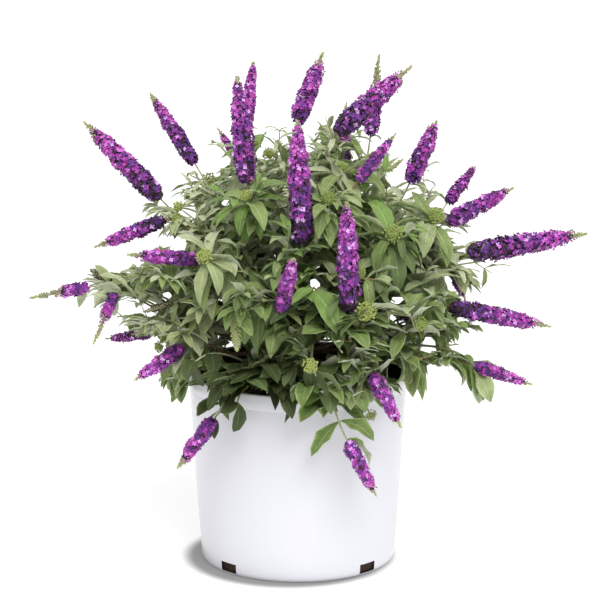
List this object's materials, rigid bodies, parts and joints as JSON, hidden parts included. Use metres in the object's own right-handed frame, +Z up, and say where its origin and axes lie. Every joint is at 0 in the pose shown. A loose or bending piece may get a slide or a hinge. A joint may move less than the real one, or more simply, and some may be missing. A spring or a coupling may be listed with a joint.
{
  "type": "potted butterfly bush",
  "caption": "Compact flowering shrub in a round white nursery pot: arching shoots with grey-green leaves in pairs and long purple flower spikes.",
  "frame": {"origin": "middle of the pot's flat underside", "axes": "+Z up along the pot's axis, -Y towards the front, +X to the right as seen from the front"},
  "size_m": [0.6892, 0.5505, 0.6417],
  "materials": {
    "white_plastic": "glossy blow-moulded polyethylene, faintly rippled",
    "potting_mix": "loose, dark, bark-based potting mix",
    "bark": "young bark with fine lengthwise cracks",
    "foliage": "soft matte leaf, darker above",
    "leaf_underside": "pale felted underside",
    "young_leaf": "silvery bloom on young growth",
    "blossom": "soft magenta-purple florets, violet and dark at the foot of each spike",
    "bud": "dull yellow-green buds"
  },
  "bodies": {
    "root": {"pot": "white_plastic", "potting_soil": "potting_mix", "trunk": "bark", "bough_back": "bark", "bough_back_high": "bark", "bough_back_left": "bark", "bough_back_low_left": "bark", "bough_back_low_right": "bark", "bough_back_right": "bark", "bough_back_right_high": "bark", "bough_front": "bark", "bough_front_high": "bark", "bough_front_left": "bark", "bough_front_left_high": "bark", "bough_front_low_left": "bark", "bough_front_low_right": "bark", "bough_front_right": "bark", "bough_high_left": "bark", "bough_high_right": "bark", "bough_left": "bark", "bough_right": "bark", "bough_top": "bark", "foliage_back": "foliage", "foliage_back_high": "foliage", "foliage_back_left": "foliage", "foliage_back_low_left": "foliage", "foliage_back_low_right": "foliage", "foliage_back_right": "foliage", "foliage_back_right_high": "foliage", "foliage_front": "foliage", "foliage_front_high": "foliage", "foliage_front_left": "foliage", "foliage_front_left_high": "foliage", "foliage_front_low_left": "foliage", "foliage_front_low_right": "foliage", "foliage_front_right": "foliage", "foliage_high_left": "foliage", "foliage_high_right": "foliage", "foliage_left": "foliage", "foliage_right": "foliage", "foliage_top": "foliage"}
  },
  "joints": []
}
